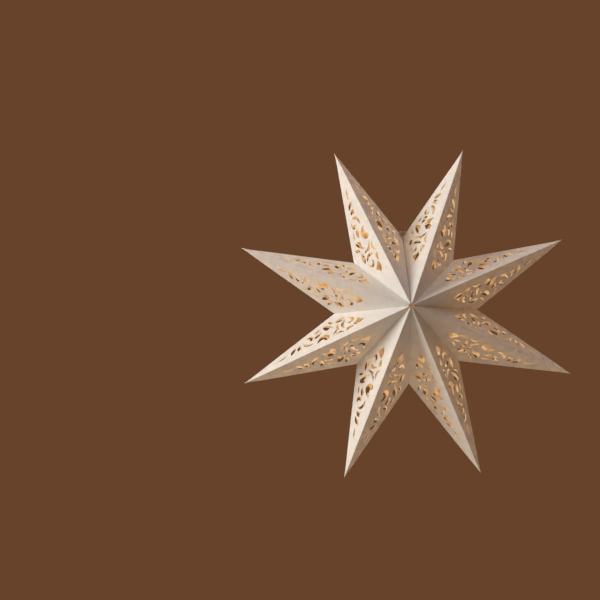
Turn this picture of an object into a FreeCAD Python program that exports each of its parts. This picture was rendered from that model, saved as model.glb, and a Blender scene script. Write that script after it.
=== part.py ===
import FreeCAD, Part
import math
import os

# An eight-pointed star of folded card. Each point is one sheet, die-cut with a scroll pattern,
# folded into a hollow four-sided spike and glued to its neighbours along the seams between them.
# Lengths are in millimetres and angles in degrees. The star hangs upright: its front faces -Y,
# +Z is up, and the origin is the middle of the hub.

Vec = FreeCAD.Vector

# The star as a whole
TIP_RADIUS = 225.0
POINT_COUNT = 8
HUB_HALF_DEPTH = 67.5
HUB_OPENING_RADIUS = 3.0
VALLEY_RADIUS = 91.5

# The closing seam at the top, where the two end points meet after the star is fanned open
CLOSING_VALLEY_RADIUS = 97.5
CLOSING_TIP_ANGLE = 43.5

# The card and its glue flaps
CARD_THICKNESS = 0.4
GLUE_LINE = 0.1
SEAM_FLAP_WIDTH = 7.0
SEAM_FLAP_TAPER = 12.0
BACK_FLAP_WIDTH = 8.0
BACK_FLAP_START = 24.0
BACK_FLAP_END_MARGIN = 40.0
BACK_FLAP_TAPER = 8.0

# The folded strip that fills the closing valley, and the hole in it for the hanging thread
LOOP_WIDTH = 8.0
LOOP_RISE = 5.5
LOOP_TAIL = 13.0
THREAD_HOLE_RADIUS = 1.5

# The scroll pattern is drawn once, on a plain facet laid flat, and it stretches with the facet.
# x runs from the hub along the fold to the tip, and y runs from the fold towards the valley. The
# drawing's tip is at (PATTERN_FOLD_LENGTH, 0), and its valley is at (PATTERN_VALLEY_X, PATTERN_REACH).
PATTERN_FOLD_LENGTH = 235.0
PATTERN_VALLEY_X = 101.0
PATTERN_REACH = 53.5

# Each cut-out is a closed chain of arcs: a corner, a place that the arc passes through, the next
# corner, and so on round to the first corner.
DIAMOND = [(63.7, 18.8), (68.2, 15.7), (73.5, 14.9), (76.0, 15.9),
           (77.4, 18.1), (73.5, 21.2), (70.8, 24.8), (67.6, 21.4)]
HALF_LEAF = [(77.8, 14.3), (82.6, 12.3), (86.8, 11.0), (88.0, 13.4), (86.3, 15.7), (82.0, 15.7)]
TICK = [(92.7, 9.4), (93.6, 13.2), (97.2, 15.4), (101.2, 14.3),
        (104.2, 11.3), (100.4, 12.5), (96.9, 12.4), (94.2, 11.4)]
SWIRL = [(85.9, 26.2), (81.6, 22.9), (76.3, 27.5), (78.9, 31.4),
         (83.9, 32.2), (80.9, 30.4), (80.0, 27.6), (82.0, 25.2)]
BOW = [(90.0, 18.1), (94.3, 24.6), (87.0, 32.1), (90.4, 25.3)]
FORK = [(108.2, 15.1), (104.2, 18.6), (101.6, 22.6), (100.9, 26.4), (99.0, 29.8),
        (98.4, 24.8), (98.3, 19.6), (99.7, 19.4), (101.0, 18.4), (104.2, 16.2)]
VALLEY_LEAF = [(87.8, 36.8), (94.8, 33.3), (101.4, 35.6), (95.0, 38.7)]
COMMA = [(104.5, 24.6), (107.0, 28.4), (110.8, 30.0), (112.0, 28.7), (114.0, 28.2),
         (116.9, 30.8), (118.2, 34.4), (117.6, 36.4), (115.4, 36.9), (108.2, 32.4)]
BUD = [(104.6, 36.0), (109.5, 38.4), (110.5, 43.0), (106.7, 40.6)]
BEAN = [(116.6, 10.7), (112.9, 14.2), (115.4, 19.8), (120.2, 21.7), (125.4, 18.8),
        (127.8, 15.4), (128.4, 11.3), (124.6, 13.9), (119.8, 14.6), (118.8, 12.0)]
BROAD_LEAF = [(121.4, 28.0), (125.4, 24.4), (130.6, 22.8),
              (131.6, 24.8), (130.4, 26.9), (126.2, 28.7)]
LOWER_SLIVER = [(122.3, 36.0), (126.2, 32.7), (131.6, 31.4), (127.4, 34.9)]
HOOK = [(137.0, 22.2), (134.3, 25.4), (135.6, 29.0), (139.2, 29.9),
        (142.9, 27.5), (140.0, 27.4), (138.2, 26.0), (138.6, 23.8)]
HORN = [(134.8, 15.9), (139.8, 13.8), (144.4, 15.4), (147.2, 18.8),
        (146.8, 23.2), (144.0, 19.6), (141.0, 17.2), (138.0, 16.4)]
HEART = [(150.6, 14.2), (152.8, 15.4), (155.4, 13.4), (157.0, 16.6), (151.9, 21.8), (151.9, 17.8)]
TIP_LEAF = [(158.6, 21.0), (161.6, 15.4), (166.0, 11.6), (165.6, 17.4)]
TIP_SLIVER = [(171.2, 14.9), (176.8, 12.0), (184.4, 10.2), (178.4, 13.8)]

# Every cut-out is this much larger than its drawing, about the mean of its own places, so that
# only narrow bridges of card stay between them.
CUT_OUT_GROWTH = 1.12

SCROLL_PATTERN = [DIAMOND, HALF_LEAF, TICK, SWIRL, BOW, FORK, VALLEY_LEAF, COMMA, BUD, BEAN,
                  BROAD_LEAF, LOWER_SLIVER, HOOK, HORN, HEART, TIP_LEAF, TIP_SLIVER]

# Worked out from the sizes above
FRONT = Vec(0, -HUB_HALF_DEPTH, 0)
BACK = Vec(0, HUB_HALF_DEPTH, 0)
UP_ANGLE = 90.0
TIP_STEP = (360.0 - CLOSING_TIP_ANGLE) / (POINT_COUNT - 1)
SPREAD_ANGLE = math.degrees(math.asin(CARD_THICKNESS / (CLOSING_VALLEY_RADIUS - LOOP_TAIL)))


def on_circle(radius, angle):
    """A place in the star's middle plane, at an angle counted from +X towards +Z."""
    return Vec(radius * math.cos(math.radians(angle)), 0, radius * math.sin(math.radians(angle)))


def unit(vector):
    """The vector's direction, with a length of one."""
    return vector * (1 / vector.Length)


def polygon(places):
    """A closed wire of straight edges."""
    return Part.makePolygon(list(places) + [places[0]])


def arc_chain(places):
    """A closed wire of arcs through corners (even places) and the places between them."""
    count = len(places)
    arcs = [Part.Arc(places[i], places[i + 1], places[(i + 2) % count]).toShape()
            for i in range(0, count, 2)]
    return Part.Wire(arcs)


def grown(places):
    """A cut-out's places, moved out from their mean by CUT_OUT_GROWTH."""
    middle_x = sum(x for x, y in places) / len(places)
    middle_y = sum(y for x, y in places) / len(places)
    return [(middle_x + (x - middle_x) * CUT_OUT_GROWTH, middle_y + (y - middle_y) * CUT_OUT_GROWTH)
            for x, y in places]


class Sheet:
    """A flat stretch of card with its outer face in a plane, seen from the fold that starts it."""

    def __init__(self, start, end, side, inside):
        self.start = start
        self.length = (end - start).Length
        self.along = unit(end - start)
        self.across = unit(side - start - self.along * (side - start).dot(self.along))
        normal = self.along.cross(self.across)
        self.inward = normal if normal.dot(inside - start) > 0 else normal * -1

    def place(self, x, y, depth=0.0):
        """The place at x along the fold, y away from it and depth under the outer face."""
        return self.start + self.along * x + self.across * y + self.inward * depth

    def cut(self, outline, holes=()):
        """A piece of this card between an outline and its holes, as a solid."""
        face = Part.makeFace([outline] + list(holes), "Part::FaceMakerBullseye")
        return face.extrude(self.inward * CARD_THICKNESS)


class Point:
    """One spike of the star: its tip, its two valleys, and the sheet of card folded round them."""

    def __init__(self, tip_angle, left, right):
        """left and right are each (angle away from the tip, radius) of a valley."""
        self.tip = on_circle(TIP_RADIUS, tip_angle)
        self.front = self.drawn_in(FRONT, min(left[0], right[0]))
        self.back = self.drawn_in(BACK, min(left[0], right[0]))
        self.valleys = [self.drawn_in(on_circle(radius, tip_angle + turn), abs(turn))
                        for turn, radius in ((left[0], left[1]), (-right[0], right[1]))]
        self.middle = (self.tip + self.valleys[0] + self.valleys[1]) * (1 / 3)

    def drawn_in(self, place, turn):
        """The place moved towards the tip, to leave half a glue line at a seam this far round."""
        share = GLUE_LINE / 2 / (TIP_RADIUS * math.sin(math.radians(turn)))
        return place + (self.tip - place) * share

    def pattern_place(self, apex, valley, x, y):
        """Where a place of the flat drawing lies on the facet between apex, tip and valley."""
        across = y / PATTERN_REACH
        along = (x - across * PATTERN_VALLEY_X) / PATTERN_FOLD_LENGTH
        return apex + (self.tip - apex) * along + (valley - apex) * across

    def facets(self):
        """The four cut-out panels that show on the outside."""
        for apex in (self.front, self.back):
            for valley in self.valleys:
                sheet = Sheet(apex, self.tip, valley, self.middle)
                holes = [arc_chain([self.pattern_place(apex, valley, x, y) for x, y in grown(hole)])
                         for hole in SCROLL_PATTERN]
                yield sheet.cut(polygon([apex, self.tip, valley]), holes)

    def seam_flaps(self):
        """The glue flaps that lie inside each seam, along its front and back edges."""
        hub = (self.front + self.back) * 0.5
        for valley in self.valleys:
            slope = HUB_HALF_DEPTH / (valley - hub).Length
            for apex in (self.front, self.back):
                sheet = Sheet(apex, valley, hub, self.middle)
                flap = [apex, valley,
                        sheet.place(sheet.length - SEAM_FLAP_WIDTH / slope, SEAM_FLAP_WIDTH),
                        sheet.place(SEAM_FLAP_TAPER + SEAM_FLAP_WIDTH * slope, SEAM_FLAP_WIDTH)]
                yield sheet.cut(polygon(flap))

    def back_flap(self):
        """The flap that closes the spike, glued under its back fold."""
        sheet = Sheet(self.back, self.tip, self.valleys[1], self.middle)
        end = sheet.length - BACK_FLAP_END_MARGIN
        flap = [sheet.place(BACK_FLAP_START, 0, CARD_THICKNESS),
                sheet.place(end, 0, CARD_THICKNESS),
                sheet.place(end - BACK_FLAP_TAPER, BACK_FLAP_WIDTH, CARD_THICKNESS),
                sheet.place(BACK_FLAP_START + BACK_FLAP_TAPER, BACK_FLAP_WIDTH, CARD_THICKNESS)]
        return sheet.cut(polygon(flap))

    def envelope(self):
        """The closed spike that the folded card fills out."""
        left, right = self.valleys
        corners = [(self.front, self.tip, left), (self.front, right, self.tip),
                   (self.back, left, self.tip), (self.back, self.tip, right),
                   (self.front, left, self.back), (self.front, self.back, right)]
        shell = Part.Shell([Part.Face(polygon(corner)) for corner in corners])
        return Part.Solid(shell)

    def solid(self):
        """The whole sheet: facets and flaps in one piece, open at the middle of the hub."""
        pieces = list(self.facets()) + list(self.seam_flaps()) + [self.back_flap()]
        card = pieces[0].multiFuse(pieces[1:]).common(self.envelope())
        opening = Part.makeCylinder(HUB_OPENING_RADIUS, 2 * HUB_HALF_DEPTH, FRONT, Vec(0, 1, 0))
        return card.cut(opening).removeSplitter()


def star_points():
    """The eight points, counter-clockwise from the closing seam as seen from the front."""
    for number in range(POINT_COUNT):
        tip_angle = UP_ANGLE + CLOSING_TIP_ANGLE / 2 + number * TIP_STEP
        plain = (TIP_STEP / 2, VALLEY_RADIUS)
        closing = (CLOSING_TIP_ANGLE / 2 - SPREAD_ANGLE, CLOSING_VALLEY_RADIUS)
        left = closing if number == POINT_COUNT - 1 else plain
        right = closing if number == 0 else plain
        yield Point(tip_angle, left, right)


def hanging_loop():
    """The folded strip that closes the star: two layers glued between the flaps of the end points
    part at the valley into a three-sided loop, with the thread hole through its flat top."""
    tip = on_circle(TIP_RADIUS, UP_ANGLE - CLOSING_TIP_ANGLE / 2)
    valley = on_circle(CLOSING_VALLEY_RADIUS, UP_ANGLE - SPREAD_ANGLE)
    lean = math.atan2(tip.x - valley.x, tip.z - valley.z)
    foot = CLOSING_VALLEY_RADIUS - LOOP_TAIL
    top = CLOSING_VALLEY_RADIUS + LOOP_RISE
    half_top = CARD_THICKNESS + LOOP_RISE * math.tan(lean)
    wall = CARD_THICKNESS / math.cos(lean)

    outer = [(-CARD_THICKNESS, foot), (-CARD_THICKNESS, valley.z), (-half_top, top),
             (half_top, top), (CARD_THICKNESS, valley.z), (CARD_THICKNESS, foot)]
    inner_top = top - CARD_THICKNESS
    inner_foot = valley.z + (wall - CARD_THICKNESS) / math.tan(lean)
    inner_half = (inner_top - inner_foot) * math.tan(lean)
    inner = [(0, inner_foot), (-inner_half, inner_top), (inner_half, inner_top)]

    front = -LOOP_WIDTH / 2
    wires = [polygon([Vec(x, front, z) for x, z in places]) for places in (outer, inner)]
    section = Part.makeFace(wires, "Part::FaceMakerBullseye")
    strip = section.extrude(Vec(0, LOOP_WIDTH, 0))
    hole = Part.makeCylinder(THREAD_HOLE_RADIUS, 2 * CARD_THICKNESS, Vec(0, 0, inner_top - CARD_THICKNESS / 2))
    return strip.cut(hole)


def export(shape, name):
    """Write one node, after checking that it is a single sound solid."""
    assert shape.isValid(), name
    assert len(shape.Solids) == 1, (name, len(shape.Solids))
    solid = shape.Solids[0]
    solid.exportStep("parts/" + name + ".step")
    print(name, "volume", round(solid.Volume, 1), "faces", len(solid.Faces))


def main():
    os.makedirs("parts", exist_ok=True)
    for number, point in enumerate(star_points(), start=1):
        export(point.solid(), "point_" + str(number))
    export(hanging_loop(), "hanging_loop")


main()
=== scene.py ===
"""Looks of an eight-pointed star of folded, die-cut card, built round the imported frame.

Sizes are in millimetres, as a paper worker would give them, and turn to metres when a mesh is made.
The star hangs upright: its front faces -Y, +Z is up, and the origin is the middle of the hub.
"""
import logging
import math
from dataclasses import dataclass, field
from enum import Enum
from typing import Any, Iterable, Sequence

import bpy
import numpy as np
from mathutils import Matrix, Vector
from mathutils.geometry import delaunay_2d_cdt


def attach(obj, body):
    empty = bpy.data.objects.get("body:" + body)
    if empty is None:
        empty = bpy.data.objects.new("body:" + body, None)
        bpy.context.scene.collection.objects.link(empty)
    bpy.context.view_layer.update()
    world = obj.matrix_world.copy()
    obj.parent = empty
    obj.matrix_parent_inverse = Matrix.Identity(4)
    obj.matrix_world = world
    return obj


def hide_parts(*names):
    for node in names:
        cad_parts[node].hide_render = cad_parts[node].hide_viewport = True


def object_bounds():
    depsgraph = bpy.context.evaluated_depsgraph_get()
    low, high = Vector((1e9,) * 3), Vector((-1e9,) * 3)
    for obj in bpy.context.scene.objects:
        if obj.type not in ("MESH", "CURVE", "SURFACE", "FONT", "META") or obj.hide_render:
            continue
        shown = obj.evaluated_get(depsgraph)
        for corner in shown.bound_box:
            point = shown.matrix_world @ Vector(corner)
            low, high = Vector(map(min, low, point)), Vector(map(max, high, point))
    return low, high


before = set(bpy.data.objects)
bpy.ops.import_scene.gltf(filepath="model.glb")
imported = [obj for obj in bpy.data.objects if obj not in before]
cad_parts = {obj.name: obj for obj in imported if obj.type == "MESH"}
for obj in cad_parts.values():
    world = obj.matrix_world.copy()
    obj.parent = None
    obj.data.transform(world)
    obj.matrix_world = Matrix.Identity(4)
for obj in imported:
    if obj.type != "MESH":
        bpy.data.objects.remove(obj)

CAD_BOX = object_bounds()
MM = 0.001
LOG = logging.getLogger("paper_star")

# Places nearer than this, in millimetres, are one corner when a sheet is filled with triangles.
SAME_CORNER = 1e-5
# The filling's choice of output: only the triangles inside the rings.
INSIDE_RINGS = 1
# Three places lie in a line if twice the cross product of their sides is less than this.
NEARLY_STRAIGHT = 1e-9
# Gives a place with no area round it some direction.
NO_AREA = 1e-12
# Three shares that add up to one have their largest product, one part in this many, when even.
EVEN_SHARES = 27
# Edges that turn by more than this many degrees are shaded sharp, as the card's cut edges are.
SHARP_ANGLE = 40.0
# Starts the random draws that make the hand-folded sheets a little uneven.
HAND_SEED = 8

Array = np.ndarray
Place = tuple[float, float]


# Shared geometry


class Side(Enum):
    """The faces of a sheet of card. The value is the face's material slot."""

    OUTER = 0
    INNER = 1
    CUT = 2


def unit(vectors: Array) -> Array:
    """Scales vectors to a length of one.

    Args:
        vectors: One vector, or rows of them.

    Returns:
        The same directions, each with a length of one.
    """
    return vectors / np.linalg.norm(vectors, axis=-1, keepdims=True)


def on_circle(radius: float, angle: float) -> Array:
    """Gives a place in the star's middle plane.

    Args:
        radius: Distance from the hub's axis.
        angle: Degrees from +X towards +Z.

    Returns:
        The place, as x, y and z.
    """
    turn = math.radians(angle)
    return np.array([radius * math.cos(turn), 0.0, radius * math.sin(turn)])


def arc_through(start: Array, middle: Array, end: Array, steps: int) -> Array:
    """Walks the circle through three places: centre plus radius times cosine and sine of the turn.

    Args:
        start: First place, in the plane.
        middle: A place that the arc passes through.
        end: Last place.
        steps: How many stretches the arc has.

    Returns:
        The places from the start up to the last one before the end, one a row.
    """
    a, b = middle - start, end - start
    cross = 2 * (a[0] * b[1] - a[1] * b[0])
    if abs(cross) < NEARLY_STRAIGHT:
        return start + np.outer(np.arange(steps) / steps, b)
    lift = np.array([b[1] * (a @ a) - a[1] * (b @ b), a[0] * (b @ b) - b[0] * (a @ a)]) / cross
    centre, radius = start + lift, np.linalg.norm(lift)
    first = math.atan2(*(start - centre)[::-1])
    sweep = (math.atan2(*(end - centre)[::-1]) - first) % (2 * math.pi)
    passed = (math.atan2(*(middle - centre)[::-1]) - first) % (2 * math.pi)
    if passed > sweep:
        sweep -= 2 * math.pi
    turns = first + sweep * np.arange(steps) / steps
    return centre + radius * np.stack([np.cos(turns), np.sin(turns)], axis=1)


def straight(start: Array, end: Array, pitch: float) -> Array:
    """Divides a straight run into even stretches.

    Args:
        start: First place.
        end: Last place, which is left out.
        pitch: About how long a stretch is.

    Returns:
        The places, one a row.
    """
    steps = max(1, round(np.linalg.norm(end - start) / pitch))
    return start + np.outer(np.arange(steps) / steps, end - start)


def distance_to_line(places: Array, start: Array, end: Array) -> Array:
    """Measures how far places lie from a straight stretch between two places.

    Args:
        places: Rows of places.
        start: One end of the stretch.
        end: The other end.

    Returns:
        One distance for each row.
    """
    along = end - start
    share = np.clip((places - start) @ along / (along @ along), 0, 1)
    return np.linalg.norm(places - start - share[:, None] * along, axis=1)


def counter_clockwise(ring: Array) -> Array:
    """Turns a ring's order round if its area, the sum of x times the step of y, is negative."""
    area = ring[:, 0] @ (np.roll(ring[:, 1], -1) - np.roll(ring[:, 1], 1))
    return ring if area > 0 else ring[::-1]


def triangulate(outline: Array, holes: Sequence[Array], inside: Array) -> tuple[Array, Array]:
    """Fills a flat outline with triangles, leaving its holes open.

    Args:
        outline: The outline's places in order.
        holes: The places of each hole in order.
        inside: Loose places that the triangles also use as corners.

    Returns:
        The places in use, and the triangles as rows of three place numbers.
    """
    rings = [counter_clockwise(ring) for ring in (outline, *holes)]
    places = np.concatenate([*rings, inside])
    starts = np.cumsum([0] + [len(ring) for ring in rings])
    faces = [list(range(a, b)) for a, b in zip(starts[:-1], starts[1:])]
    found = delaunay_2d_cdt([Vector(p) for p in places], [], faces, INSIDE_RINGS, SAME_CORNER, True)
    corners = np.array([tuple(v) for v in found[0]])
    kept = np.array([face for face, source in zip(found[2], found[5]) if source == [0]])
    used, triangles = np.unique(kept, return_inverse=True)
    return corners[used], triangles.reshape(-1, 3)


@dataclass
class Shell:
    """A thin surface as rows of places and of triangles, before the card has its thickness."""

    places: Array
    triangles: Array

    def facing(self, outward: Array) -> "Shell":
        """Turns the triangles over if the surface's average face points away from outward.

        Args:
            outward: The direction that the surface has to face.

        Returns:
            The same shell.
        """
        a, b, c = (self.places[self.triangles[:, i]] for i in range(3))
        if np.cross(b - a, c - a).sum(axis=0) @ outward < 0:
            self.triangles = self.triangles[:, ::-1]
        return self

    def normals(self) -> Array:
        """Gives each place its outward direction: the cross products of the sides of the triangles
        round it, added up, so that large triangles count for more.

        Returns:
            One direction for each place, each with a length of one.
        """
        a, b, c = (self.places[self.triangles[:, i]] for i in range(3))
        faces = np.cross(b - a, c - a)
        total = np.zeros_like(self.places)
        for i in range(3):
            np.add.at(total, self.triangles[:, i], faces)
        return unit(total + NO_AREA)

    @staticmethod
    def joined(shells: Iterable["Shell"], weld: float) -> "Shell":
        """Puts shells together, and makes places within the weld distance one.

        Args:
            shells: The shells to join.
            weld: The largest gap that closes.

        Returns:
            One shell.
        """
        parts = list(shells)
        offsets = np.cumsum([0] + [len(part.places) for part in parts[:-1]])
        places = np.concatenate([part.places for part in parts])
        triangles = np.concatenate([p.triangles + start for p, start in zip(parts, offsets)])
        _, first, number = np.unique(
            np.round(places / weld).astype(int), axis=0, return_index=True, return_inverse=True)
        triangles = number.reshape(-1)[triangles]
        sound = (triangles != np.roll(triangles, 1, axis=1)).all(axis=1)
        return Shell(places[first], triangles[sound])

    def thickened(self, thickness: float) -> tuple[Array, Array, Array]:
        """Makes a sheet of card: the surface, the same surface one thickness under it, and the
        cut edges that join the two wherever a triangle's edge has no neighbour.

        Args:
            thickness: How thick the card is.

        Returns:
            Places, triangles, and each triangle's Side value.
        """
        count = len(self.places)
        under = self.places - self.normals() * thickness
        edges = np.concatenate([self.triangles[:, [i, (i + 1) % 3]] for i in range(3)])
        code, back = edges[:, 0] * count + edges[:, 1], edges[:, 1] * count + edges[:, 0]
        start, end = edges[~np.isin(code, back)].T
        rim = np.concatenate([np.stack([start, start + count, end + count], axis=1),
                              np.stack([start, end + count, end], axis=1)])
        triangles = np.concatenate([self.triangles, self.triangles[:, ::-1] + count, rim])
        sides = np.repeat([Side.OUTER.value, Side.INNER.value, Side.CUT.value],
                          [len(self.triangles), len(self.triangles), len(rim)])
        return np.concatenate([self.places, under]), triangles, sides


def grid_shell(places: Array) -> Shell:
    """Fills a grid of places with triangles.

    Args:
        places: The grid, as rows, columns and x, y, z.

    Returns:
        The shell.
    """
    rows, columns = places.shape[:2]
    number = np.arange(rows * columns).reshape(rows, columns)
    a, b, c, d = number[:-1, :-1], number[1:, :-1], number[1:, 1:], number[:-1, 1:]
    triangles = np.concatenate([np.stack([a, b, c], axis=-1).reshape(-1, 3),
                                np.stack([a, c, d], axis=-1).reshape(-1, 3)])
    return Shell(places.reshape(-1, 3), triangles)


@dataclass(frozen=True)
class Fold:
    """A crease between two flat panels, which the card takes as a small round and not a corner.

    The rounding moves a place inwards by depth * exp(-distance / radius), and the depth makes the
    slopes of the two panels meet level on the crease.
    """

    start: Array
    end: Array
    panels: tuple[Array, Array]
    radius: float

    def moved(self, places: Array) -> Array:
        """Gives how far the fold's rounding moves each place.

        Args:
            places: Rows of places.

        Returns:
            One move for each row, towards the inside of the fold.
        """
        outward = unit(self.panels[0] + self.panels[1])
        depth = self.radius * math.sqrt(max(0.0, 1 - float(self.panels[0] @ outward) ** 2))
        near = np.exp(-distance_to_line(places, self.start, self.end) / self.radius)
        return -outward * (depth * near)[:, None]


def make_piece(name: str, shell: Shell, thickness: float, finishes: dict[Side, Any]) -> Any:
    """Makes a Blender object of a thickened shell.

    Args:
        name: The piece's name.
        shell: The card's outer surface, in millimetres.
        thickness: How thick the card is.
        finishes: The material of each face of the card.

    Returns:
        The object, at the origin.
    """
    places, triangles, sides = shell.thickened(thickness)
    mesh = bpy.data.meshes.new(name)
    mesh.from_pydata((places * MM).tolist(), [], triangles.tolist())
    for side in Side:
        mesh.materials.append(finishes[side])
    mesh.polygons.foreach_set("material_index", sides.astype(np.int32))
    mesh.polygons.foreach_set("use_smooth", np.ones(len(triangles), dtype=bool))
    mesh.set_sharp_from_angle(angle=math.radians(SHARP_ANGLE))
    mesh.validate()
    mesh.update()
    piece = bpy.data.objects.new(name, mesh)
    bpy.context.scene.collection.objects.link(piece)
    return piece


# The card's finish


def linear(hex_colour: str) -> tuple[float, float, float, float]:
    """Turns an sRGB hex colour to Blender's linear values, by the standard's own curve.

    Args:
        hex_colour: Six hex digits.

    Returns:
        Red, green, blue and an alpha of one.
    """
    parts = [int(hex_colour[i:i + 2], 16) / 255 for i in (0, 2, 4)]
    red, green, blue = [c / 12.92 if c <= 0.04045 else ((c + 0.055) / 1.055) ** 2.4 for c in parts]
    return red, green, blue, 1.0


def add_node(tree: Any, kind: str, settings: dict[str, Any], **links: Any) -> Any:
    """Adds one node to a material.

    Args:
        tree: The material's node tree.
        kind: The node's type.
        settings: Values by input name, or by property name for what isn't an input.
        **links: Output sockets by input name, with underscores for spaces.

    Returns:
        The node.
    """
    made = tree.nodes.new(kind)
    for name, value in settings.items():
        if name in made.inputs:
            made.inputs[name].default_value = value
        else:
            setattr(made, name, value)
    for name, socket in links.items():
        tree.links.new(socket, made.inputs[name.replace("_", " ")])
    return made


@dataclass(frozen=True)
class CardFinish:
    """One face of uncoated cotton card, cast on a mould and lightly pressed.

    The eye sees a matte, almost powdery face with a cloudy formation of fibre a few millimetres
    across, and light that comes through the sheet warmer than the light that it throws back. A
    cotton fibre is some hundredths of a millimetre wide and wouldn't show, so it is drawn as coarse
    as fibre_mm. A face can also carry a painted glow: an emission that stands in for the light that
    comes through the card and bounces inside the closed star. It is painted in gold and brown
    patches as large as the cut-outs that the light came in by. It is painted darker towards the hub,
    where little light reaches, and brighter on the side that the key lamp lights.
    """

    name: str
    thin_colour: str
    thick_colour: str
    glow_colour: str
    translucency: float
    # Strength of the painted glow, an emission that stands in for light bounced inside the star.
    painted_glow_strength: float = 0.0
    painted_glow_ramp: tuple[tuple[float, str], ...] = ((0.38, "4A3018"), (0.5, "D8A15C"), (0.62, "FFE8BE"))
    painted_glow_patch_mm: float = 8.0
    painted_glow_detail: float = 3.0
    # Painted shade: the glow fades to none towards the hub, between these two radii.
    painted_glow_start_mm: float = 34.0
    painted_glow_full_mm: float = 66.0
    # Painted light: the glow is brighter on the side that the key lamp lights, from this compass
    # angle.
    lit_from: float = 158.0
    far_share: float = 0.8
    lit_reach_mm: float = 120.0
    roughness: float = 0.82
    specular_level: float = 0.3
    cloud_mm: float = 7.0
    cloud_detail: float = 4.0
    cloud_roughness: float = 0.6
    cloud_ramp: tuple[float, float] = (0.35, 0.65)
    fibre_mm: float = 1.6
    fibre_detail: float = 2.0
    fibre_curl: float = 1.5
    tooth_mm: float = 0.05
    tooth_strength: float = 0.15

    def material(self) -> Any:
        """Builds the material, with its clouds and fibre on Object coordinates.

        Returns:
            The Blender material.
        """
        made = bpy.data.materials.new(self.name)
        made.use_nodes = True
        tree = made.node_tree
        tree.nodes.clear()
        where = add_node(tree, "ShaderNodeTexCoord", {}).outputs["Object"]
        clouds = add_node(tree, "ShaderNodeTexNoise",
                          {"Scale": 1 / (self.cloud_mm * MM), "Detail": self.cloud_detail,
                           "Roughness": self.cloud_roughness}, Vector=where)
        fibre = add_node(tree, "ShaderNodeTexNoise",
                         {"Scale": 1 / (self.fibre_mm * MM), "Detail": self.fibre_detail,
                          "Distortion": self.fibre_curl}, Vector=where)
        tint = add_node(tree, "ShaderNodeValToRGB", {}, Fac=clouds.outputs["Fac"])
        colours = (self.thin_colour, self.thick_colour)
        for stop, position, colour in zip(tint.color_ramp.elements, self.cloud_ramp, colours):
            stop.position = position
            stop.color = linear(colour)
        tooth = add_node(tree, "ShaderNodeBump",
                         {"Strength": self.tooth_strength, "Distance": self.tooth_mm * MM},
                         Height=fibre.outputs["Fac"])
        face = add_node(tree, "ShaderNodeBsdfPrincipled",
                        {"Roughness": self.roughness, "Specular IOR Level": self.specular_level,
                         "Emission Strength": self.painted_glow_strength},
                        Base_Color=tint.outputs["Color"], Normal=tooth.outputs["Normal"])
        # Painted glow: this emission stands in for light that comes through the card and bounces
        # inside.
        if self.painted_glow_strength:
            tree.links.new(self.painted_glow_colour(tree, where), face.inputs["Emission Color"])
        through = add_node(tree, "ShaderNodeBsdfTranslucent", {"Color": linear(self.glow_colour)},
                           Normal=tooth.outputs["Normal"])
        both = add_node(tree, "ShaderNodeMixShader", {"Fac": self.translucency})
        tree.links.new(face.outputs["BSDF"], both.inputs[1])
        tree.links.new(through.outputs["BSDF"], both.inputs[2])
        add_node(tree, "ShaderNodeOutputMaterial", {}, Surface=both.outputs["Shader"])
        return made

    def painted_glow_colour(self, tree: Any, where: Any) -> Any:
        """Mixes the painted glow, an emission that stands in for light inside the star: patches of
        noise from brown over gold to cream, times how far from the hub's axis the place is, from none
        at painted_glow_start_mm to all at painted_glow_full_mm, which paints shade towards the hub,
        times how far it lies towards the lit side, from far_share opposite lit_from to all on that
        side, which paints light on the side that the key lamp lights.

        Args:
            tree: The material's node tree.
            where: The socket with Object coordinates.

        Returns:
            The socket with the light's colour.
        """
        patches = add_node(tree, "ShaderNodeTexNoise",
                           {"Scale": 1 / (self.painted_glow_patch_mm * MM), "Detail": self.painted_glow_detail},
                           Vector=where)
        light = add_node(tree, "ShaderNodeValToRGB", {}, Fac=patches.outputs["Fac"])
        stops = light.color_ramp.elements
        stops.new(self.painted_glow_ramp[1][0])
        for stop, (position, colour) in zip(stops, self.painted_glow_ramp):
            stop.position = position
            stop.color = linear(colour)
        # With y taken out, a place's length is its distance from the hub's axis.
        flat = add_node(tree, "ShaderNodeMapping", {"Scale": (1.0, 0.0, 1.0)}, Vector=where)
        reach = add_node(tree, "ShaderNodeVectorMath", {"operation": "LENGTH"})
        tree.links.new(flat.outputs["Vector"], reach.inputs[0])
        fade = add_node(tree, "ShaderNodeMapRange",
                        {"From Min": self.painted_glow_start_mm * MM, "From Max": self.painted_glow_full_mm * MM},
                        Value=reach.outputs["Value"])
        turned = add_node(tree, "ShaderNodeMapping",
                          {"Rotation": (0.0, math.radians(self.lit_from), 0.0)}, Vector=where)
        towards = add_node(tree, "ShaderNodeSeparateXYZ", {}, Vector=turned.outputs["Vector"])
        side = add_node(tree, "ShaderNodeMapRange",
                        {"From Min": -self.lit_reach_mm * MM, "From Max": self.lit_reach_mm * MM,
                         "To Min": self.far_share}, Value=towards.outputs["X"])
        share = add_node(tree, "ShaderNodeMath", {"operation": "MULTIPLY"})
        tree.links.new(fade.outputs["Result"], share.inputs[0])
        tree.links.new(side.outputs["Result"], share.inputs[1])
        # The painted glow, painted darker towards the hub and brighter on the lit side.
        painted_glow_mix = add_node(tree, "ShaderNodeMixRGB", {"Color1": linear("000000")},
                        Fac=share.outputs["Value"], Color2=light.outputs["Color"])
        return painted_glow_mix.outputs["Color"]


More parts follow.
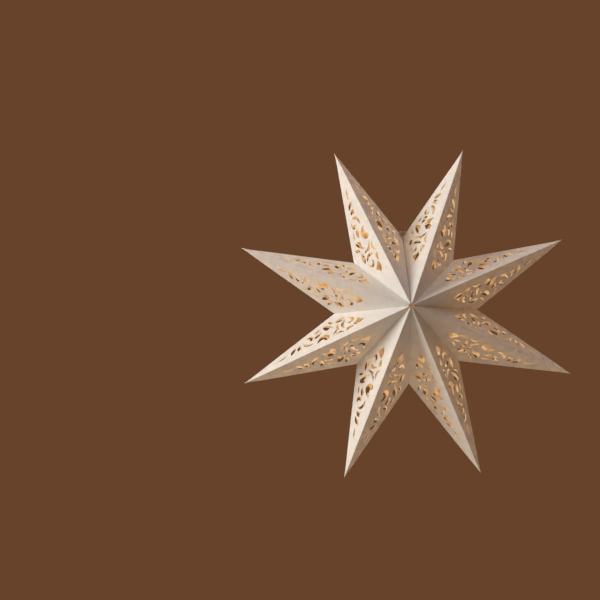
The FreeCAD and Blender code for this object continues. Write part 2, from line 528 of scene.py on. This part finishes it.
# The inner face looks warmer, because the light on it has come through the card, and it alone
# carries a painted glow: an emission that stands in for light bounced inside the star. A cut edge
# is thin and lets more light through.
OUTER_CARD = CardFinish("cotton_card_outer", "F0EFEB", "F8F7F3", "F8E6C6", translucency=0.16)
INNER_CARD = CardFinish("cotton_card_inner_painted_glow", "F2E6CF", "F8EEDC", "F8E0B4", translucency=0.16,
                        painted_glow_strength=0.37)
CUT_CARD = CardFinish("cotton_card_cut_edge", "F3EFE6", "F8F5EF", "F6E3BE", translucency=0.3)


# The scroll pattern


@dataclass(frozen=True)
class ScrollPattern:
    """The leaf scroll that is die-cut in each facet, drawn on a plain facet laid flat.

    x runs from the hub along the fold to the tip, and y from the fold towards the valley. Each
    cut-out is a closed chain of arcs: a corner, a place that the arc passes through, the next
    corner, and so on. It is cut larger than drawn, by growth, about the mean of its places.
    """

    fold_length: float = 235.0
    valley: Place = (101.0, 53.5)
    arc_steps: int = 6
    growth: float = 1.12
    diamond: Sequence[Place] = ((63.7, 18.8), (68.2, 15.7), (73.5, 14.9), (76.0, 15.9),
                                (77.4, 18.1), (73.5, 21.2), (70.8, 24.8), (67.6, 21.4))
    half_leaf: Sequence[Place] = ((77.8, 14.3), (82.6, 12.3), (86.8, 11.0), (88.0, 13.4),
                                  (86.3, 15.7), (82.0, 15.7))
    tick: Sequence[Place] = ((92.7, 9.4), (93.6, 13.2), (97.2, 15.4), (101.2, 14.3),
                             (104.2, 11.3), (100.4, 12.5), (96.9, 12.4), (94.2, 11.4))
    swirl: Sequence[Place] = ((85.9, 26.2), (81.6, 22.9), (76.3, 27.5), (78.9, 31.4),
                              (83.9, 32.2), (80.9, 30.4), (80.0, 27.6), (82.0, 25.2))
    bow: Sequence[Place] = ((90.0, 18.1), (94.3, 24.6), (87.0, 32.1), (90.4, 25.3))
    fork: Sequence[Place] = ((108.2, 15.1), (104.2, 18.6), (101.6, 22.6), (100.9, 26.4),
                             (99.0, 29.8), (98.4, 24.8), (98.3, 19.6), (99.7, 19.4),
                             (101.0, 18.4), (104.2, 16.2))
    valley_leaf: Sequence[Place] = ((87.8, 36.8), (94.8, 33.3), (101.4, 35.6), (95.0, 38.7))
    comma: Sequence[Place] = ((104.5, 24.6), (107.0, 28.4), (110.8, 30.0), (112.0, 28.7),
                              (114.0, 28.2), (116.9, 30.8), (118.2, 34.4), (117.6, 36.4),
                              (115.4, 36.9), (108.2, 32.4))
    bud: Sequence[Place] = ((104.6, 36.0), (109.5, 38.4), (110.5, 43.0), (106.7, 40.6))
    bean: Sequence[Place] = ((116.6, 10.7), (112.9, 14.2), (115.4, 19.8), (120.2, 21.7),
                             (125.4, 18.8), (127.8, 15.4), (128.4, 11.3), (124.6, 13.9),
                             (119.8, 14.6), (118.8, 12.0))
    broad_leaf: Sequence[Place] = ((121.4, 28.0), (125.4, 24.4), (130.6, 22.8),
                                   (131.6, 24.8), (130.4, 26.9), (126.2, 28.7))
    lower_sliver: Sequence[Place] = ((122.3, 36.0), (126.2, 32.7), (131.6, 31.4), (127.4, 34.9))
    hook: Sequence[Place] = ((137.0, 22.2), (134.3, 25.4), (135.6, 29.0), (139.2, 29.9),
                             (142.9, 27.5), (140.0, 27.4), (138.2, 26.0), (138.6, 23.8))
    horn: Sequence[Place] = ((134.8, 15.9), (139.8, 13.8), (144.4, 15.4), (147.2, 18.8),
                             (146.8, 23.2), (144.0, 19.6), (141.0, 17.2), (138.0, 16.4))
    heart: Sequence[Place] = ((150.6, 14.2), (152.8, 15.4), (155.4, 13.4), (157.0, 16.6),
                              (151.9, 21.8), (151.9, 17.8))
    tip_leaf: Sequence[Place] = ((158.6, 21.0), (161.6, 15.4), (166.0, 11.6), (165.6, 17.4))
    tip_sliver: Sequence[Place] = ((171.2, 14.9), (176.8, 12.0), (184.4, 10.2), (178.4, 13.8))

    def cut_outs(self) -> list[Array]:
        """Draws the cut-outs, each one grown.

        Returns:
            The outline of each cut-out, as rows of places.
        """
        chains = (self.diamond, self.half_leaf, self.tick, self.swirl, self.bow, self.fork,
                  self.valley_leaf, self.comma, self.bud, self.bean, self.broad_leaf,
                  self.lower_sliver, self.hook, self.horn, self.heart, self.tip_leaf,
                  self.tip_sliver)
        outlines = []
        for chain in chains:
            middle = np.mean(chain, axis=0)
            stops = middle + (np.array([*chain, chain[0]]) - middle) * self.growth
            outlines.append(np.concatenate([arc_through(*stops[i:i + 3], self.arc_steps)
                                            for i in range(0, len(chain), 2)]))
        return outlines


@dataclass
class FacetNet:
    """A plain facet laid flat as triangles, with its cut-outs open and rows of places beside each
    fold, so that the card can curve there."""

    pattern: ScrollPattern
    hub_opening_share: float
    valley_opening_share: float
    edge_pitch: float = 5.0
    grid_pitch: float = 6.0
    fold_rows: Sequence[float] = (0.35, 0.9, 2.0, 4.0)
    seam_rows: Sequence[float] = (0.7, 1.6, 2.8, 4.6, 7.0)
    clear_of_holes: float = 0.5
    clear_of_rows: float = 3.0
    margin_share: float = 0.9
    places: Array = field(init=False)
    triangles: Array = field(init=False)
    seam_shares: Array = field(init=False)

    def __post_init__(self) -> None:
        """Lays out the outline, the cut-outs and the loose places, and fills them."""
        tip = np.array([self.pattern.fold_length, 0.0])
        valley = np.array(self.pattern.valley)
        hub_end, seam_end = tip * self.hub_opening_share, valley * self.valley_opening_share
        fold = straight(hub_end, tip, self.edge_pitch)
        outer = straight(tip, valley, self.edge_pitch)
        seam = straight(valley, seam_end, self.edge_pitch)
        holes = self.pattern.cut_outs()
        outline = np.concatenate([fold, outer, seam, [seam_end]])
        self.seam_shares = np.append(np.linalg.norm(seam, axis=1), np.linalg.norm(seam_end))
        self.seam_shares = self.seam_shares[::-1] / np.linalg.norm(valley)

        loose = np.concatenate([
            self.row(fold, tip - hub_end, self.fold_rows),
            self.row(outer, valley - tip, self.fold_rows),
            self.row(seam, seam_end - valley, self.seam_rows), self.grid(tip, valley)])
        runs = [(hub_end, tip), (tip, valley), (valley, seam_end)]
        margin = min(self.fold_rows) * self.margin_share
        inside = np.all([self.reach(loose, a, b) > margin for a, b in runs], axis=0)
        ring = np.concatenate(holes)
        gaps = np.linalg.norm(loose[:, None] - ring[None], axis=2).min(axis=1)
        keep = inside & (gaps > self.clear_of_holes)
        self.places, self.triangles = triangulate(outline, holes, loose[keep])

    @staticmethod
    def reach(places: Array, start: Array, end: Array) -> Array:
        """Measures how far places lie to the left of the line from start to end."""
        along = unit(end - start)
        return (places - start) @ np.array([-along[1], along[0]])

    @staticmethod
    def row(edge: Array, along: Array, rows: Sequence[float]) -> Array:
        """Repeats an edge's places at each distance inside it."""
        inward = unit(np.array([-along[1], along[0]]))
        return np.concatenate([edge + inward * distance for distance in rows])

    def grid(self, tip: Array, valley: Array) -> Array:
        """Covers the facet's box with places at the grid pitch, every other row shifted by half.

        Args:
            tip: The far end of the fold.
            valley: The facet's third corner.

        Returns:
            The places, one a row.
        """
        lowest = max(self.fold_rows) + self.clear_of_rows
        across, up = np.meshgrid(np.arange(0, tip[0], self.grid_pitch),
                                 np.arange(lowest, valley[1], self.grid_pitch))
        across = across + (np.arange(len(up)) % 2)[:, None] * self.grid_pitch / 2
        return np.stack([across.ravel(), up.ravel()], axis=1)

    def on(self, apex: Array, tip: Array, valley: Array) -> Shell:
        """Stretches the net over the facet between three places: the apex, plus the share along the
        fold times tip less apex, plus the share across times valley less apex.

        Args:
            apex: Where the fold meets the hub.
            tip: The far end of the fold.
            valley: The facet's third corner.

        Returns:
            The facet's shell.
        """
        far_x, reach = self.pattern.valley
        across = self.places[:, 1] / reach
        along = (self.places[:, 0] - across * far_x) / self.pattern.fold_length
        places = apex + np.outer(along, tip - apex) + np.outer(across, valley - apex)
        return Shell(places, self.triangles)


# The star


@dataclass(frozen=True)
class StarSizes:
    """The sizes that the folded star shares with its solids, in millimetres and degrees."""

    tip_radius: float = 225.0
    point_count: int = 8
    hub_half_depth: float = 67.5
    hub_opening_radius: float = 3.0
    valley_radius: float = 91.5
    closing_valley_radius: float = 97.5
    closing_tip_angle: float = 43.5
    card: float = 0.4
    glue_line: float = 0.1
    seam_flap_width: float = 7.0
    seam_flap_taper: float = 12.0
    back_flap_width: float = 8.0
    back_flap_start: float = 24.0
    back_flap_end_margin: float = 40.0
    loop_width: float = 8.0
    loop_rise: float = 5.5
    loop_tail: float = 13.0
    thread_hole_radius: float = 1.5
    weld: float = 0.001

    @property
    def tip_step(self) -> float:
        """The angle between tips, apart from the two beside the closing seam."""
        return (360 - self.closing_tip_angle) / (self.point_count - 1)

    @property
    def spread_angle(self) -> float:
        """How far each end point stands off the closing seam, for the two layers of the loop."""
        foot = self.closing_valley_radius - self.loop_tail
        return math.degrees(math.asin(self.card / foot))


@dataclass
class StarPoint:
    """One spike: a sheet folded round its tip, two valleys and the hub, with its glue flaps."""

    sizes: StarSizes
    net: FacetNet
    number: int
    crease: float = 0.5
    seam_crease: float = 0.2
    flare_share: float = 0.5
    flare_radius: float = 2.6
    flare_fade: float = 0.2
    puff: float = 1.1
    puff_range: tuple[float, float] = (-1.0, 0.6)
    back_flap_inset: float = 0.6
    back_flap_drop: float = 1.3
    back_flap_rows: int = 3
    back_flap_steps: int = 24
    needle: float = 9.0
    needle_pinch: float = 0.35
    tip_bend: float = 0.9
    tip_bend_needles: float = 3.0

    def __post_init__(self) -> None:
        """Finds the corners, drawn in by half a glue line from the seams."""
        s = self.sizes
        angle = 90 + s.closing_tip_angle / 2 + (self.number - 1) * s.tip_step
        plain = (s.tip_step / 2, s.valley_radius)
        closing = (s.closing_tip_angle / 2 - s.spread_angle, s.closing_valley_radius)
        left = closing if self.number == s.point_count else plain
        right = closing if self.number == 1 else plain
        self.tip = on_circle(s.tip_radius, angle)
        nearest = min(left[0], right[0])
        hub = np.array([0.0, s.hub_half_depth, 0.0])
        self.apexes = [self.drawn_in(-hub, nearest), self.drawn_in(hub, nearest)]
        self.valleys = [self.drawn_in(on_circle(left[1], angle + left[0]), left[0]),
                        self.drawn_in(on_circle(right[1], angle - right[0]), right[0])]
        self.middle = (self.tip + self.valleys[0] + self.valleys[1]) / 3

    def drawn_in(self, place: Array, turn: float) -> Array:
        """Moves a place towards the tip, to leave half a glue line at a seam this far round."""
        share = self.sizes.glue_line / 2 / (self.sizes.tip_radius * math.sin(math.radians(turn)))
        return place + (self.tip - place) * share

    def outward(self, a: Array, b: Array, c: Array) -> Array:
        """The direction out of the spike, square to the panel through three places."""
        normal = unit(np.cross(b - a, c - a))
        return normal if normal @ (a - self.middle) > 0 else -normal

    def facet_normal(self, apex: Array, valley: Array) -> Array:
        """The outward direction of the facet between an apex, the tip and a valley."""
        return self.outward(apex, self.tip, valley)

    def seam_normal(self, valley: Array) -> Array:
        """The outward direction of the seam at a valley."""
        return self.outward(self.apexes[0], valley, self.apexes[1])

    def seam_flap(self, apex: Array, valley: Array) -> Shell:
        """Lays the flap along one seam edge: a grid of the seam's own steps along the edge and of
        set depths under it, drawn in at both ends as the flap tapers.

        Args:
            apex: The seam's end at the hub.
            valley: The seam's outer end.

        Returns:
            The flap's outer surface.
        """
        s = self.sizes
        hub = (self.apexes[0] + self.apexes[1]) / 2
        along = unit(valley - apex)
        length = np.linalg.norm(valley - apex)
        across = unit(hub - apex - along * ((hub - apex) @ along))
        slope = s.hub_half_depth / np.linalg.norm(valley - hub)
        shares = self.net.seam_shares
        depths = np.array([0.0, *self.net.seam_rows])[:, None]
        start = shares[0] * length
        deepest = s.seam_flap_taper + s.seam_flap_width * slope
        first = start + depths / s.seam_flap_width * (deepest - start)
        last = length - depths / slope
        x = first + (shares - shares[0]) / (1 - shares[0]) * (last - first)
        places = apex + x[..., None] * along + depths[..., None] * across
        return grid_shell(places).facing(self.seam_normal(valley))

    def back_flap(self) -> Shell:
        """Lays the flap that is glued under the back fold: a strip back_flap_drop times the card's
        thickness under the facet, in even steps along the fold, with its corners cut off.

        Returns:
            The flap's outer surface.
        """
        s = self.sizes
        apex, valley = self.apexes[1], self.valleys[1]
        along = unit(self.tip - apex)
        across = unit(valley - apex - along * ((valley - apex) @ along))
        normal = self.facet_normal(apex, valley)
        end = np.linalg.norm(self.tip - apex) - s.back_flap_end_margin
        rows = self.back_flap_rows
        x = np.linspace([s.back_flap_start] * rows, [end] * rows, self.back_flap_steps).T
        depths = np.linspace(self.back_flap_inset, s.back_flap_width, rows)[:, None]
        x = np.clip(x, s.back_flap_start + depths, end - depths)
        under = normal * (s.card * self.back_flap_drop)
        places = apex + x[..., None] * along + depths[..., None] * across - under
        return grid_shell(places).facing(normal)

    def folds(self) -> list[Fold]:
        """Finds every crease of the spike: its two fold lines, its two outer edges and its seams.

        Returns:
            The creases.
        """
        creases = []
        for apex in self.apexes:
            normals = [self.facet_normal(apex, valley) for valley in self.valleys]
            creases.append(Fold(apex, self.tip, (normals[0], normals[1]), self.crease))
            for valley, normal in zip(self.valleys, normals):
                seam = self.seam_normal(valley)
                creases.append(Fold(apex, valley, (normal, seam), self.seam_crease))
        for valley in self.valleys:
            front, back = (self.facet_normal(apex, valley) for apex in self.apexes)
            creases.append(Fold(valley, self.tip, (front, back), self.crease))
        return creases

    def flared(self, places: Array) -> Array:
        """Gives how far each place is pulled out beside the seams, where the glued flaps hold the
        card back from a sharp valley: along the seam's own plane, by share * radius * tangent of
        the facet's lean * exp(-distance / radius), fading over flare_fade of the seam's length at
        each of its ends.

        Args:
            places: Rows of places.

        Returns:
            One move for each row.
        """
        moves = np.zeros_like(places)
        hub = (self.apexes[0] + self.apexes[1]) / 2
        for apex in self.apexes:
            for valley in self.valleys:
                along = unit(valley - apex)
                out = unit((valley - hub) + (apex - hub))
                out = unit(out - along * (out @ along))
                normal = self.facet_normal(apex, valley)
                lean = math.tan(math.acos(float(normal @ out)))
                share = (places - apex) @ along / np.linalg.norm(valley - apex)
                fade = (np.clip(share / self.flare_fade, 0, 1)
                        * np.clip((1 - share) / self.flare_fade, 0, 1))
                near = np.exp(-distance_to_line(places, apex, valley) / self.flare_radius)
                depth = self.flare_share * self.flare_radius * lean
                moves += out * (depth * near * fade)[:, None]
        return moves

    def puffed(self, facet: Shell, corners: Sequence[Array], normal: Array, height: float) -> Shell:
        """Bows a facet by height times EVEN_SHARES times the product of its three corner shares, so
        that its middle moves by the height and its edges not at all.

        Args:
            facet: The flat facet.
            corners: Its three corners.
            normal: Its outward direction.
            height: How far its middle moves outwards.

        Returns:
            The bowed facet.
        """
        edges = np.stack([corners[1] - corners[0], corners[2] - corners[0]], axis=1)
        shares = np.linalg.lstsq(edges, (facet.places - corners[0]).T, rcond=None)[0]
        bow = EVEN_SHARES * shares[0] * shares[1] * (1 - shares[0] - shares[1])
        return Shell(facet.places + np.outer(bow * height, normal), facet.triangles)

    def shell(self, dice: np.random.Generator) -> Shell:
        """Folds the sheet: facets and flaps joined, then rounded, and its tip drawn to a needle.

        Args:
            dice: Source of the small unevenness between hand-folded sheets.

        Returns:
            The spike's outer surface.
        """
        parts = []
        for apex in self.apexes:
            for valley in self.valleys:
                normal = self.facet_normal(apex, valley)
                facet = self.net.on(apex, self.tip, valley).facing(normal)
                height = self.puff * dice.uniform(*self.puff_range)
                parts.append(self.puffed(facet, (apex, self.tip, valley), normal, height))
                parts.append(self.seam_flap(apex, valley))
        shell = Shell.joined(parts, self.sizes.weld)
        rounded = sum(fold.moved(shell.places) for fold in self.folds())
        shell.places = shell.places + rounded + self.flared(shell.places)
        shell = Shell.joined([shell, self.back_flap()], self.sizes.weld)
        shell.places = self.needled(shell.places, dice)
        return shell

    def needled(self, places: Array, dice: np.random.Generator) -> Array:
        """Draws the tip in towards its axis by a share that fades with exp(-distance / needle), and
        bends it sideways by the square of its share of the last tip_bend_needles needles.

        Args:
            places: Rows of places.
            dice: Source of the bend's two directions.

        Returns:
            The places, moved.
        """
        out = unit(self.tip)
        along = places @ out
        left = self.sizes.tip_radius - along
        off = places - np.outer(along, out)
        pinch = 1 - self.needle_pinch * np.exp(-np.clip(left, 0, None) / self.needle)
        side = np.array([-out[2], 0.0, out[0]]) * dice.uniform(-1, 1)
        side = side + np.array([0, dice.uniform(-1, 1), 0])
        bent_length = self.tip_bend_needles * self.needle
        bend = np.clip(1 - left / bent_length, 0, 1) ** 2 * self.tip_bend
        return np.outer(along, out) + off * pinch[:, None] + np.outer(bend, side)


@dataclass
class HangingLoop:
    """The folded strip in the closing valley: two tails glued in the seam, parting into a
    three-sided loop with a thread hole through its flat top."""

    sizes: StarSizes
    crease: float = 0.3
    pitch: float = 0.8
    hole_steps: int = 40
    crease_places: int = 11
    clear_of_edge: float = 0.1
    clear_of_hole: float = 0.2
    card_share: float = 0.95

    @property
    def thickness(self) -> float:
        """The strip's card, a hair thinner than the solid's, so that its two tails don't touch."""
        return self.sizes.card * self.card_share

    def corners(self) -> Array:
        """Finds the strip's outer section: tail, slope, flat top, slope and tail.

        Returns:
            The section's corners, as rows of x, y and z.
        """
        s = self.sizes
        tip = on_circle(s.tip_radius, 90 - s.closing_tip_angle / 2)
        valley = on_circle(s.closing_valley_radius, 90 - s.spread_angle)
        lean = math.atan2(tip[0] - valley[0], tip[2] - valley[2])
        half_top = s.card + s.loop_rise * math.tan(lean)
        right = [(half_top, s.closing_valley_radius + s.loop_rise), (s.card, valley[2]),
                 (s.card, s.closing_valley_radius - s.loop_tail)]
        left = [(-x, z) for x, z in reversed(right)]
        return np.array([(x, 0.0, z) for x, z in left + right])

    def shell(self) -> Shell:
        """Cuts the strip flat with its hole, bends it round the corners, and rounds the creases.

        Returns:
            The strip's outer surface.
        """
        corners = self.corners()
        runs = np.linalg.norm(np.diff(corners, axis=0), axis=1)
        stops = np.concatenate([[0], np.cumsum(runs)])
        half = self.sizes.loop_width / 2
        length = stops[-1]
        ring = [np.array(p) for p in ((0, -half), (length, -half), (length, half), (0, half))]
        outline = np.concatenate([straight(ring[i], ring[(i + 1) % 4], self.pitch) for i in range(4)])
        turns = np.linspace(0, 2 * math.pi, self.hole_steps, endpoint=False)
        hole = np.stack([length / 2 + self.sizes.thread_hole_radius * np.cos(turns),
                         self.sizes.thread_hole_radius * np.sin(turns)], axis=1)
        along, across = np.meshgrid(np.arange(self.pitch, length, self.pitch),
                                    np.arange(-half + self.pitch, half - self.clear_of_edge,
                                              self.pitch))
        inside = np.stack([along.ravel(), across.ravel()], axis=1)
        width_places = np.linspace(-half, half, self.crease_places + 2)[1:-1]
        creases = [np.stack([np.full(self.crease_places, stop), width_places], axis=1)
                   for stop in stops[1:-1]]
        inside = np.concatenate([inside, *creases])
        clear_radius = self.sizes.thread_hole_radius + self.clear_of_hole
        clear = np.linalg.norm(inside - [length / 2, 0], axis=1) > clear_radius
        flat, triangles = triangulate(outline, [hole], inside[clear])
        bent = np.stack([np.interp(flat[:, 0], stops, corners[:, 0]), flat[:, 1],
                         np.interp(flat[:, 0], stops, corners[:, 2])], axis=1)
        shell = Shell(bent, triangles).facing(np.array([0.0, 0.0, 1.0]))
        across_y = np.array([0.0, half, 0.0])
        moves = []
        for before, corner, after in zip(corners[:-2], corners[1:-1], corners[2:]):
            normals = [unit(np.array([a[2] - b[2], 0.0, b[0] - a[0]])) for a, b in
                       ((before, corner), (corner, after))]
            fold = Fold(corner - across_y, corner + across_y, (normals[0], normals[1]), self.crease)
            moves.append(fold.moved(shell.places))
        shell.places = shell.places + sum(moves)
        return shell


# The studio


@dataclass(frozen=True)
class Lamp:
    """A round soft lamp that looks at the star's hub.

    Its compass and height are in degrees, its distance and size in metres, its power in watts.
    """

    name: str
    compass: float
    height: float
    distance: float
    size: float
    power: float
    colour: str

    def hang(self) -> None:
        """Places the lamp, from its compass angle from +X towards +Z and its angle to the front."""
        turn, rise = math.radians(self.compass), math.radians(self.height)
        direction = Vector((math.cos(turn) * math.cos(rise), -math.sin(rise),
                            math.sin(turn) * math.cos(rise)))
        lamp = bpy.data.lights.new(self.name, "AREA")
        lamp.shape = "DISK"
        lamp.size = self.size
        lamp.energy = self.power
        lamp.color = linear(self.colour)[:3]
        holder = bpy.data.objects.new(self.name, lamp)
        holder.location = direction * self.distance
        holder.rotation_euler = direction.to_track_quat("Z", "Y").to_euler()
        bpy.context.scene.collection.objects.link(holder)


@dataclass(frozen=True)
class Studio:
    """The floor, the lamps and the camera. None of them is part of the star.

    Its sizes and places are in metres, the camera's lens in millimetres and its roll in degrees.
    """

    floor_drop: float = 0.62
    floor_size: float = 14.0
    floor_colour: str = "CFC6B8"
    floor_roughness: float = 0.9
    room_colour: str = "66432A"
    room_strength: float = 1.0
    lamps: Sequence[Lamp] = (
        Lamp("key", 158.0, 11.0, 2.6, 1.2, 57.0, "FFFFFB"),
        Lamp("fill", 120.0, 46.0, 2.6, 2.2, 4.0, "FFFDF8"),
        Lamp("top", 76.0, 14.0, 2.4, 1.8, 10.0, "FAFAFC"),
        Lamp("rear", 40.0, -40.0, 2.8, 2.2, 8.0, "FFF3E4"),
    )
    camera_place: tuple[float, float, float] = (-0.2180, -1.9782, -0.2401)
    camera_aim: tuple[float, float, float] = (-0.1340, 0.0, 0.0194)
    camera_roll: float = -1.93
    camera_lens: float = 94.4
    camera_clip: tuple[float, float] = (0.05, 100.0)

    def set_up(self) -> None:
        """Builds the studio round the star."""
        self.floor()
        self.room()
        for lamp in self.lamps:
            lamp.hang()
        self.camera()

    def floor(self) -> None:
        """Lays a plain pale floor well under the hanging star."""
        height = CAD_BOX[0].z - self.floor_drop
        half = self.floor_size / 2
        mesh = bpy.data.meshes.new("floor")
        mesh.from_pydata([(-half, -half, height), (half, -half, height), (half, half, height),
                          (-half, half, height)], [], [(0, 1, 2, 3)])
        made = bpy.data.materials.new("matte_painted_floor")
        made.use_nodes = True
        shader = made.node_tree.nodes["Principled BSDF"]
        shader.inputs["Base Color"].default_value = linear(self.floor_colour)
        shader.inputs["Roughness"].default_value = self.floor_roughness
        mesh.materials.append(made)
        floor = bpy.data.objects.new("floor", mesh)
        bpy.context.scene.collection.objects.link(floor)

    def room(self) -> None:
        """Fills the room with an even, dim, warm light."""
        world = bpy.data.worlds.new("studio")
        bpy.context.scene.world = world
        world.use_nodes = True
        room = world.node_tree.nodes["Background"]
        room.inputs["Color"].default_value = linear(self.room_colour)
        room.inputs["Strength"].default_value = self.room_strength
        bpy.context.scene.view_settings.view_transform = "Standard"

    def camera(self) -> None:
        """Stands the camera a little below and left of the star, as the photograph was taken."""
        data = bpy.data.cameras.new("camera")
        data.lens = self.camera_lens
        data.clip_start, data.clip_end = self.camera_clip
        holder = bpy.data.objects.new("camera", data)
        place = Vector(self.camera_place)
        look = (Vector(self.camera_aim) - place).to_track_quat("-Z", "Y").to_matrix().to_4x4()
        roll = Matrix.Rotation(math.radians(self.camera_roll), 4, "Z")
        holder.matrix_world = Matrix.Translation(place) @ look @ roll
        bpy.context.scene.collection.objects.link(holder)
        bpy.context.scene.camera = holder


def finished(piece: Any, node: str) -> None:
    """Fixes a piece to the star's one body and lets it stand for its solid.

    Args:
        piece: The Blender object.
        node: The solid's name.
    """
    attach(piece, "root")
    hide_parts(node)
    LOG.info("%s: %d faces, stands for %s", piece.name, len(piece.data.polygons), node)


def main() -> None:
    """Builds the spikes, the hanging loop and the studio."""
    sizes = StarSizes()
    finishes = {Side.OUTER: OUTER_CARD.material(), Side.INNER: INNER_CARD.material(),
                Side.CUT: CUT_CARD.material()}
    net = FacetNet(ScrollPattern(), sizes.hub_opening_radius / sizes.tip_radius,
                   sizes.hub_opening_radius / sizes.valley_radius)
    dice = np.random.default_rng(HAND_SEED)
    for number in range(1, sizes.point_count + 1):
        point = StarPoint(sizes, net, number)
        node = f"point_{number}"
        finished(make_piece(f"folded_{node}", point.shell(dice), sizes.card, finishes), node)
    loop = HangingLoop(sizes)
    # The strip is open to the air on both faces, so neither of them carries the painted glow.
    strip = {**finishes, Side.INNER: finishes[Side.OUTER]}
    finished(make_piece("folded_hanging_loop", loop.shell(), loop.thickness, strip), "hanging_loop")
    Studio().set_up()


if __name__ == "__main__":
    logging.basicConfig(level=logging.INFO)
    main()
